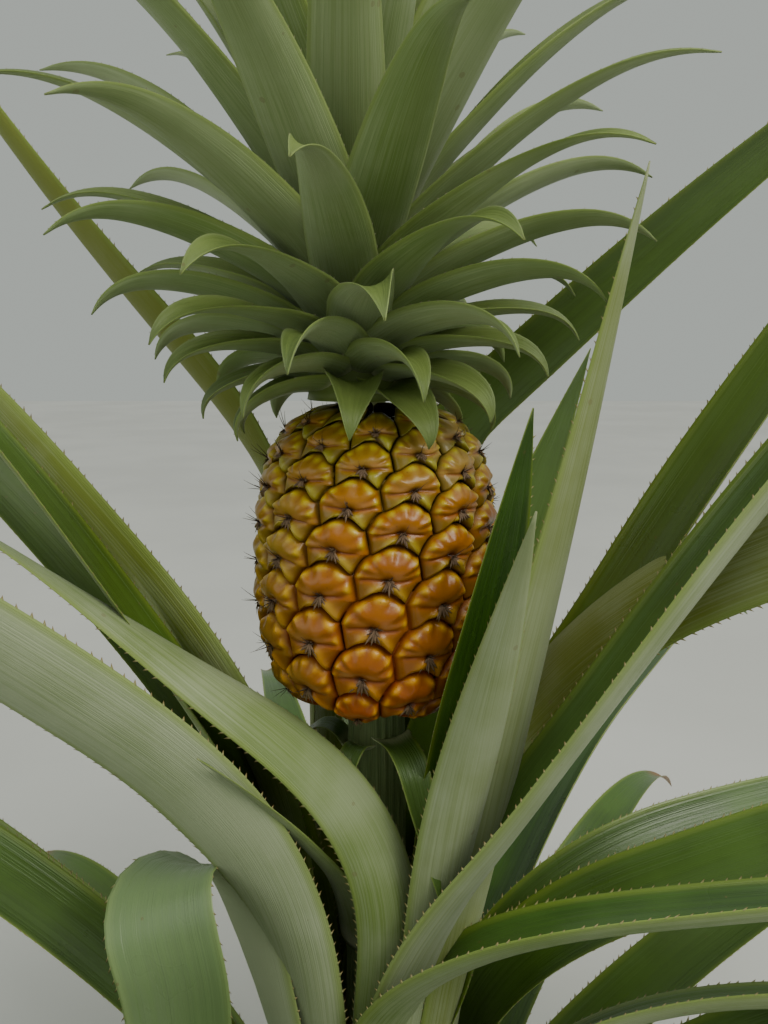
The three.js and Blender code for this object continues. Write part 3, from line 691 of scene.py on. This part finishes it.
# %% Stem and stalk meshes
def turned_relief(radius_at, low, high, rings, sides, relief):
    z = np.linspace(low, high, rings + 1)
    turn = np.linspace(0, 2 * math.pi, sides, endpoint=False)
    r = np.array([radius_at(h) for h in z])[:, None] + relief(z[:, None], turn[None, :])
    x, y = r * np.cos(turn), r * np.sin(turn) + lean_at(z)[:, None]
    points = np.stack([x, y, np.repeat(z[:, None], sides, axis=1)], axis=-1).reshape(-1, 3)
    points = np.vstack([points, (0, float(lean_at(low)), low), (0, float(lean_at(high)), high)])
    faces = tube_faces(rings, sides)
    bottom, top = len(points) - 2, len(points) - 1
    for j in range(sides):
        faces.append(((j + 1) % sides, j, bottom))
        faces.append((rings * sides + j, rings * sides + (j + 1) % sides, top))
    share = np.broadcast_to(turn / (2 * math.pi) * 4, (rings + 1, sides))
    height = np.broadcast_to(((z - low) / (high - low))[:, None], (rings + 1, sides))
    uv = np.vstack([np.stack([share, height], axis=-1).reshape(-1, 2), (0, 0), (0, 1)])
    return points, faces, uv


def leaf_base_relief(z, turn):
    ring = (z / 5.6 + turn / (2 * math.pi) * 2 + 0.16 * np.sin(5 * turn + z / 9)) % 1.0
    fade = ease(z / 6) * ease((STEM_HEIGHT - z) / 6)
    return -fade * (1.5 * ring ** 2 + 0.35 * np.sin(37 * turn + 9 * np.sin(z / 4)) + 0.35)


def rib_relief(z, turn):
    return -0.35 - 0.35 * np.cos(22 * turn + 0.6 * np.sin(z / 17)) - 0.15 * np.sin(z / 7 + 3 * turn)


points, faces, uv = turned_relief(stem_radius, 0, STEM_HEIGHT, 190, 150, leaf_base_relief)
make_piece("stem_bark", points * MM, faces, [stem_finish], ["stem"], uv=uv)
STALK_GAP = 0.3
points, faces, uv = turned_relief(stalk_radius, STEM_HEIGHT + STALK_GAP, FRUIT_FOOT - STALK_GAP, 80, 132,
                                  rib_relief)
make_piece("stalk_rind", points * MM, faces, [stalk_finish], ["stalk"], uv=uv)
print("stem and stalk made")

# %% [markdown]
# ## The fruit
# The rind is a spiral lattice of eyes, each the mark of one flower. An eye has a smooth rounded hood
# above with a beaded rim, a crease across the middle with a pinch of dry flower in it, and two flaps
# with a slit between them below. Neighbouring eyes share curved grooves that arch upward, because
# each hood pushes up between the two eyes over it.

# %% Eye lattice
EYE_COUNT, EYE_TURN, EYE_FIRST_AZIMUTH, EYE_CROWDING, EYE_DEPTH = 102, 138, 90, 0.42, 4.5
EYE_PINCH, EYE_DROP = 2, 1
EDGE_STEPS = 10
EYE_RINGS = np.array([0.09, 0.18, 0.27, 0.36, 0.45, 0.54, 0.62, 0.69, 0.76, 0.82, 0.87, 0.92, 0.96, 1.0])


def eye_spot(i):
    s = (i + 0.5) / EYE_COUNT
    share = float(clamp01(s + EYE_CROWDING * s * (1 - s)))
    return np.array([EYE_FIRST_AZIMUTH - EYE_TURN * i, mix(FRUIT_FOOT + 0.5, FRUIT_TOP - 0.5, share)])


def eye_corner(i, steps, pinch):
    first = eye_spot(i)
    spots = [first]
    for step in steps:
        spot = eye_spot(i + step)
        apart = (spot[0] - first[0] + 180) % 360 - 180
        spots.append(np.array([first[0] + apart, spot[1]]))
    corner = sum(spots) / 3
    corner[1] -= min(EYE_DROP, corner[1] - FRUIT_FOOT - 0.5)
    corner[0] += math.degrees(pinch / float(fruit_radius(corner[1])))
    return corner


def eye_outline(i):
    centre = eye_spot(i)
    ring = [(i, "left"), (i - 5, "right"), (i - 13, "left"), (i - 13, "right"), (i - 8, "left"), (i, "right")]
    drawn = {"left": ((8, 13), -EYE_PINCH), "right": ((5, 13), EYE_PINCH)}
    corners = [eye_corner(j, *drawn[side]) for j, side in ring]
    for corner in corners:
        corner[0] = centre[0] + (corner[0] - centre[0] + 180) % 360 - 180
    outline = []
    for a, b in zip(corners, corners[1:] + corners[:1]):
        across = abs(b[0] - a[0]) * math.pi / 180 * float(fruit_radius((a[1] + b[1]) / 2))
        for step in range(EDGE_STEPS):
            t = step / EDGE_STEPS
            spot = mix(a, b, t)
            rise = 0.9 * t * (1 - t) * across
            inside = min(spot[1] - FRUIT_FOOT - 0.5, FRUIT_TOP - 0.5 - spot[1])
            outline.append((spot[0], spot[1] + min(rise, max(0.0, inside) * 0.5)))
    return centre, np.array(outline)


def on_rind(turn, z, lift):
    r = fruit_radius(z) + lift
    a = np.radians(turn)
    return np.stack([r * np.cos(a), r * np.sin(a) + lean_at(z), z], axis=-1)


# %% [markdown]
# The relief of one eye is a sum of soft bumps and dents in its own coordinates, x across and y up,
# from -1 to 1. The same formulas give the marks that the rind's finish reads, so the colour of a
# crease or a rim always sits exactly on its shape.

# %% Eye relief
def bump_at(value, centre, spread):
    return np.exp(-((value - centre) / spread) ** 2)


def eye_relief(x, y, rho, lobes, phase, uneven):
    wall = (1 - rho ** 6) ** 0.8
    x = x + 0.07 * np.sin(3.1 * y + uneven[0])
    y = y + 0.05 * np.sin(3.7 * x + uneven[1])
    above, below = ease((y + 0.10) / 0.2), ease((-0.12 - y) / 0.2)
    ripple = np.cos(lobes * np.arctan2(x, y + 0.12) + phase) * above
    pucker = ripple * ease((rho - 0.40) / 0.3)
    beads = bump_at(rho, 0.83, 0.08) * above * (0.5 + 0.5 * ripple)
    crease = bump_at(y, -0.08, 0.055) * ease((0.80 - np.abs(x)) / 0.2)
    spread = 0.16 + 0.45 * np.maximum(0, -0.1 - y)
    flaps = bump_at(np.abs(x), spread, 0.15) * below * ease((1.0 - rho) / 0.12)
    wedge = ease((spread - 0.12 - np.abs(x)) / 0.12) * below
    slit = bump_at(x, 0.0, 0.045) * ease((-0.2 - y) / 0.15)
    pit = np.exp(-(x ** 2 + (y + 0.07) ** 2) / 0.13 ** 2)
    lift = -EYE_DEPTH * (1 - wall) + 2.1 * bump_at(y, 0.38, 0.36) * (1 - 0.6 * x ** 2) * wall
    lift += 0.65 * pucker * wall + 0.85 * beads - 0.6 * bump_at(y, -0.06, 0.2) - 0.7 * crease
    lift += 1.3 * flaps * wall - 0.7 * wedge * wall - 0.8 * slit * wall - 1.7 * pit
    lift += 0.3 * np.sin(6.5 * x + uneven[2]) * np.sin(5.5 * y + uneven[3]) * wall
    blush = bump_at(np.abs(x), 0.34, 0.24) * bump_at(y, 0.08, 0.14)
    marks = dict(groove=ease((rho - 0.89) / 0.10), bead=np.clip(1.2 * beads, 0, 1), crease=crease,
                 blush=blush, flap=np.clip(1.2 * flaps, 0, 1), lower=below, wedge=wedge, slit=slit,
                 pit=pit, furrow=np.clip(-pucker, 0, 1))
    return lift, marks


rng = np.random.default_rng(7)
points, faces, uvs, marks = [], [], [], {}
total = 0
eyes = []
sectors = 6 * EDGE_STEPS
for i in range(EYE_COUNT):
    centre, outline = eye_outline(i)
    girth = math.pi / 180 * float(fruit_radius(centre[1]))
    away = outline - centre
    half_width = max(1.0, np.abs(away[:, 0]).max() * girth)
    half_height = max(1.0, 0.5 * (away[:, 1].max() - away[:, 1].min()))
    grid = centre + EYE_RINGS[:, None, None] * away[None]
    rho = np.broadcast_to(EYE_RINGS[:, None], grid.shape[:2])
    x = (grid[..., 0] - centre[0]) * girth / half_width
    y = (grid[..., 1] - centre[1]) / half_height
    character = (rng.choice([10, 12, 14]), rng.uniform(-1, 1), rng.uniform(0, 6.3, 4))
    lift, shape = eye_relief(x, y, rho, *character)
    size = min(1.0, half_height / 8)
    lift = -EYE_DEPTH * size + (lift + EYE_DEPTH) * size
    middle_lift, middle_shape = eye_relief(np.zeros(1), np.zeros(1), np.zeros(1), *character)
    points.append(on_rind(centre[0:1], centre[1:2], middle_lift))
    points.append(on_rind(grid[..., 0], grid[..., 1], lift).reshape(-1, 3))
    uvs.append(np.vstack([(0.5, 0.5), np.stack([0.5 + x / 2, 0.5 + y / 2], axis=-1).reshape(-1, 2)]))
    shape["ripe"], middle_shape["ripe"] = np.full(rho.shape, rng.uniform(0, 1)), np.zeros(1)
    for key in shape:
        marks.setdefault(key, []).extend([middle_shape[key].ravel(), shape[key].ravel()])
    for j in range(sectors):
        after = (j + 1) % sectors
        faces.append((total, total + 1 + after, total + 1 + j))
        for ring in range(len(EYE_RINGS) - 1):
            a, b = total + 1 + ring * sectors + j, total + 1 + ring * sectors + after
            faces.append((a, b, b + sectors, a + sectors))
    total += 1 + len(EYE_RINGS) * sectors
    eyes.append((centre, half_width, half_height, size))
marks = {key: np.concatenate(values) for key, values in marks.items()}
print("rind faces", len(faces))


# %% [markdown]
# The rind ripens from the foot up: orange to red at the foot, amber in the middle, and still green in
# the grooves near the crown. One blend by height gives those base colours, and the marks then paint
# rims, creases and dry papery middles over them. A clear coat gives the waxy shine.

# %% Material: rind
def rind_finish():
    material, tree, shader = new_material("Rind", Specular_IOR_Level=0.35, Coat_Weight=0.2,
                                          Coat_Roughness=0.12)
    place = node(tree, "ShaderNodeSeparateXYZ", {0: node(tree, "ShaderNodeTexCoord").outputs["Object"]})
    height = remap(tree, place.outputs[2], 0.450, 0.590)
    left = remap(tree, place.outputs[0], -0.015, -0.060)
    high = remap(tree, place.outputs[2], 0.545, 0.590)
    right = remap(tree, place.outputs[0], 0.0, 0.035)
    haze = use_group(tree, clouds, {"Scale": 90.0, "Low": 0.3, "High": 0.7})
    patches = use_group(tree, clouds, {"Scale": 28.0, "Low": 0.40, "High": 0.62})

    hood = tint(tree, height, (0.335, 0.070, 0.0), (0.38, 0.150, 0.0))
    hood = over(tree, hood, mark_value(tree, "ripe"), 0.4, (0.31, 0.125, 0.0))
    hood = over(tree, hood, haze.outputs["Mask"], 0.3, (0.26, 0.055, 0.0))
    green = calc(tree, "MAXIMUM", calc(tree, "MULTIPLY", left, 0.8), calc(tree, "MULTIPLY", high, 0.7))
    green = calc(tree, "MULTIPLY", green, remap(tree, patches.outputs["Mask"], 0.0, 1.0, 0.5, 1.0))
    hood = tint(tree, green, hood, (0.34, 0.25, 0.018))
    hood = over(tree, hood, calc(tree, "MULTIPLY", high, right), 0.55, (0.40, 0.32, 0.12))
    colour = over(tree, hood, mark_value(tree, "furrow"), 0.35, (0.22, 0.05, 0.0))
    rim = tint(tree, height, (0.72, 0.32, 0.0), (0.55, 0.46, 0.02))
    colour = over(tree, colour, mark_value(tree, "bead"), 0.85, rim)
    colour = over(tree, colour, mark_value(tree, "blush"), 0.55, (0.50, 0.22, 0.07))
    under_crease = tint(tree, height, (0.26, 0.075, 0.0), (0.17, 0.13, 0.006))
    colour = over(tree, colour, mark_value(tree, "lower"), 0.8, under_crease)
    papery = tint(tree, height, (0.50, 0.20, 0.004), (0.36, 0.34, 0.035))
    colour = over(tree, colour, mark_value(tree, "flap"), 0.85, papery)
    colour = over(tree, colour, mark_value(tree, "wedge"), 0.7, (0.13, 0.070, 0.010))
    deep = tint(tree, height, (0.27, 0.040, 0.0), (0.090, 0.070, 0.0))
    colour = tint(tree, mark_value(tree, "groove"), colour, deep)
    colour = over(tree, colour, mark_value(tree, "crease"), 0.75, (0.17, 0.030, 0.004))
    colour = over(tree, colour, mark_value(tree, "slit"), 0.8, (0.040, 0.015, 0.003))
    colour = over(tree, colour, mark_value(tree, "pit"), 0.9, (0.045, 0.014, 0.005))
    scar = use_group(tree, specks, {"Scale": 420.0, "Size": 0.16, "Share": 0.14})
    colour = over(tree, colour, scar.outputs["Mask"], 0.4, (0.14, 0.05, 0.005))
    dull = calc(tree, "MAXIMUM", mark_value(tree, "groove"), mark_value(tree, "wedge"))
    tree.links.new(remap(tree, dull, 0.0, 1.0, 0.33, 0.65), shader.inputs["Roughness"])
    pores = node(tree, "ShaderNodeTexNoise", {"Scale": 900.0, "Detail": 2.0,
                                              "Vector": node(tree, "ShaderNodeTexCoord").outputs["Object"]})
    relief = calc(tree, "ADD", haze.outputs["Mask"], calc(tree, "MULTIPLY", pores.outputs["Fac"], 0.3))
    surface(tree, shader, colour, relief, 0.35, 0.0005)
    return material


# %% Rind piece
rind = make_piece("fruit_rind", np.concatenate(points) * MM, faces, [rind_finish()], ["fruit"],
                  uv=np.concatenate(uvs), marks=marks)
work = bmesh.new()
work.from_mesh(rind.data)
bmesh.ops.remove_doubles(work, verts=work.verts, dist=2e-6)
open_edges = [edge for edge in work.edges if edge.is_boundary]
bmesh.ops.holes_fill(work, edges=open_edges)
bmesh.ops.triangulate(work, faces=[face for face in work.faces if len(face.verts) > 4])
bmesh.ops.recalc_face_normals(work, faces=work.faces)
still_open = sum(edge.is_boundary for edge in work.edges)
work.to_mesh(rind.data)
work.free()
print("rind vertices", len(rind.data.vertices), "open edges", len(open_edges), "left", still_open)

# %% [markdown]
# Each eye keeps a pinch of its dried flower: six curled brown flakes, three long dark bristles, and
# five papery strips of the bract that stood under it. They are far too thin to be part of the rind, and
# against the light the bristles are what makes the fruit's outline look hairy.

# %% Dry flower parts
def strip(points_along, widths, normal, tone):
    points_along = np.asarray(points_along)
    run = np.gradient(points_along, axis=0)
    run /= np.linalg.norm(run, axis=1)[:, None] + 1e-9
    side = np.cross(run, normal)
    side /= np.linalg.norm(side, axis=1)[:, None] + 1e-9
    lift = np.cross(side, run)
    ring = []
    for place, across, out_, half in zip(points_along, side, lift, widths):
        flat, thick = across * half, out_ * half * 0.35
        ring += [place - flat, place + thick, place + flat, place - thick]
    faces = tube_faces(len(points_along) - 1, 4)
    last = 4 * (len(points_along) - 1)
    faces += [(3, 2, 1, 0), (last, last + 1, last + 2, last + 3)]
    stations = len(points_along)
    along = np.repeat(np.linspace(0, 1, stations), 4)
    uv = np.stack([np.tile([0.0, 0.5, 1.0, 0.5], stations), along], axis=1)
    return np.array(ring), faces, [0] * len(faces), uv, dict(tone=np.full(len(ring), tone))


rng = np.random.default_rng(23)
scraps = []
for (turn, z), half_width, half_height, size in eyes:
    a = math.radians(turn)
    out_ = np.array([math.cos(a), math.sin(a), 0.0])
    above, below = fruit_radius(min(z + 1, FRUIT_TOP - 1)), fruit_radius(max(z - 1, FRUIT_FOOT + 1))
    slope = (float(above) - float(below)) / 2
    up_ = np.array([0, 0, 1.0]) + out_ * np.clip(slope, -1.2, 1.2)
    up_ /= np.linalg.norm(up_)
    right = np.cross(up_, out_)
    face = np.cross(right, up_)
    seat = on_rind(turn, z, -0.6 * size) - up_ * 0.08 * half_height
    for _ in range(6):
        lean, spread = rng.uniform(-1, 1), rng.uniform(-1.0, 1.0)
        length = rng.uniform(1.8, 3.8) * size
        way = face * rng.uniform(0.4, 0.9) + right * spread + up_ * lean * 0.8
        way /= np.linalg.norm(way)
        curl = (right * rng.uniform(-1, 1) + up_ * rng.uniform(-1, 0.6)) * length * 0.35
        start = seat + right * spread * 0.8 + up_ * lean * 0.4
        line = [start + way * length * t + curl * t * t for t in (0, 0.35, 0.7, 1.0)]
        widths = np.array([0.35, 0.45, 0.35, 0.06]) * size
        scraps.append(strip(line, widths, face, rng.uniform(0.1, 0.9)))
    for _ in range(3):
        length = rng.uniform(4.5, 8.5) * mix(1.0, 1.45, float(ease(-out_[0] * 1.6 - 0.6))) * size
        way = face + right * rng.uniform(-0.7, 0.7) + up_ * rng.uniform(-0.3, 0.9)
        way /= np.linalg.norm(way)
        curl = (up_ * rng.uniform(-0.2, 0.6) + right * rng.uniform(-0.5, 0.5)) * length * 0.3
        line = [seat + way * length * t + curl * t * t for t in (0, 0.25, 0.5, 0.75, 1.0)]
        widths = np.array([0.26, 0.20, 0.16, 0.12, 0.04]) * size
        scraps.append(strip(line, widths, right, rng.uniform(0.0, 0.12)))
    for fan in np.linspace(-0.75, 0.75, 5) + rng.uniform(-0.12, 0.12, 5):
        length = rng.uniform(0.32, 0.55) * half_height
        way = -up_ * math.cos(fan) + right * math.sin(fan)
        line = [seat + way * length * t + face * (0.5 + 1.7 * t) * size for t in (0, 0.35, 0.7, 1.0)]
        widths = np.array([0.55, 0.75, 0.50, 0.05]) * size
        scraps.append(strip(line, widths, face, rng.uniform(0.35, 0.8)))
points, faces, kinds, uv, marks = joined(scraps)

material, tree, shader = new_material("Dry flower", roughness=0.75)
lines = use_group(tree, fibres, {"Across": 14.0, "Along": 4.0})
colour = tint(tree, mark_value(tree, "tone"), (0.025, 0.010, 0.006), (0.33, 0.21, 0.12))
colour = over(tree, colour, lines.outputs["Fine"], 0.45, (0.12, 0.060, 0.030))
surface(tree, shader, colour, lines.outputs["Fine"], 0.4, 0.0002)
make_piece("dry_flower_parts", points * MM, faces, [material], ["fruit"], kinds, uv, marks)
print("dry flower faces", len(faces))

# %% [markdown]
# ## Floor and light
# The plant stands on a plain pale floor. Outdoors it was lit by a bright overcast sky, so a very wide
# soft sun stands nearly overhead, a large soft light hangs high on the right, a weaker one fills from
# the left, and the world gives the rest.

# %% Stage
FLOOR_REACH = 9
floor_mesh = bpy.data.meshes.new("floor")
floor_corners = [(x * FLOOR_REACH, y * FLOOR_REACH, 0) for x, y in ((-1, -1), (1, -1), (1, 1), (-1, 1))]
floor_mesh.from_pydata(floor_corners, [], [(0, 1, 2, 3)])
floor = bpy.data.objects.new("floor", floor_mesh)
bpy.context.collection.objects.link(floor)
material, tree, shader = new_material("Pale floor", roughness=0.9)
haze = use_group(tree, clouds, {"Scale": 1.5})
floor_colour = tint(tree, haze.outputs["Mask"], (0.49, 0.49, 0.47), (0.53, 0.53, 0.51))
tree.links.new(floor_colour, shader.inputs["Base Color"])
floor_mesh.materials.append(material)

world = bpy.data.worlds.new("soft sky")
bpy.context.scene.world = world
world.use_nodes = True
world.node_tree.nodes["Background"].inputs["Color"].default_value = (0.93, 1.0, 0.93, 1)
world.node_tree.nodes["Background"].inputs["Strength"].default_value = 0.45


def soft_light(name, place, aim, width, power, colour):
    data = bpy.data.lights.new(name, "AREA")
    data.size, data.energy, data.color = width, power, colour
    light = bpy.data.objects.new(name, data)
    light.location = place
    light.rotation_euler = (Vector(aim) - Vector(place)).to_track_quat("-Z", "Y").to_euler()
    bpy.context.collection.objects.link(light)


soft_light("high right", (1.3, -1.1, 2.3), (0, 0, 0.5), 1.2, 30, (1.0, 0.99, 0.90))
soft_light("low left", (-1.8, -0.9, 1.2), (0, 0, 0.45), 1.6, 8, (0.94, 1.0, 0.92))

sun = bpy.data.lights.new("overcast sky", "SUN")
sun.energy = 1.5
sun.angle = math.radians(70)
sun.color = (1.0, 1.0, 0.92)
sky = bpy.data.objects.new("overcast sky", sun)
sky.rotation_euler = Vector((0.35, -0.25, 1.0)).to_track_quat("Z", "Y").to_euler()
bpy.context.collection.objects.link(sky)
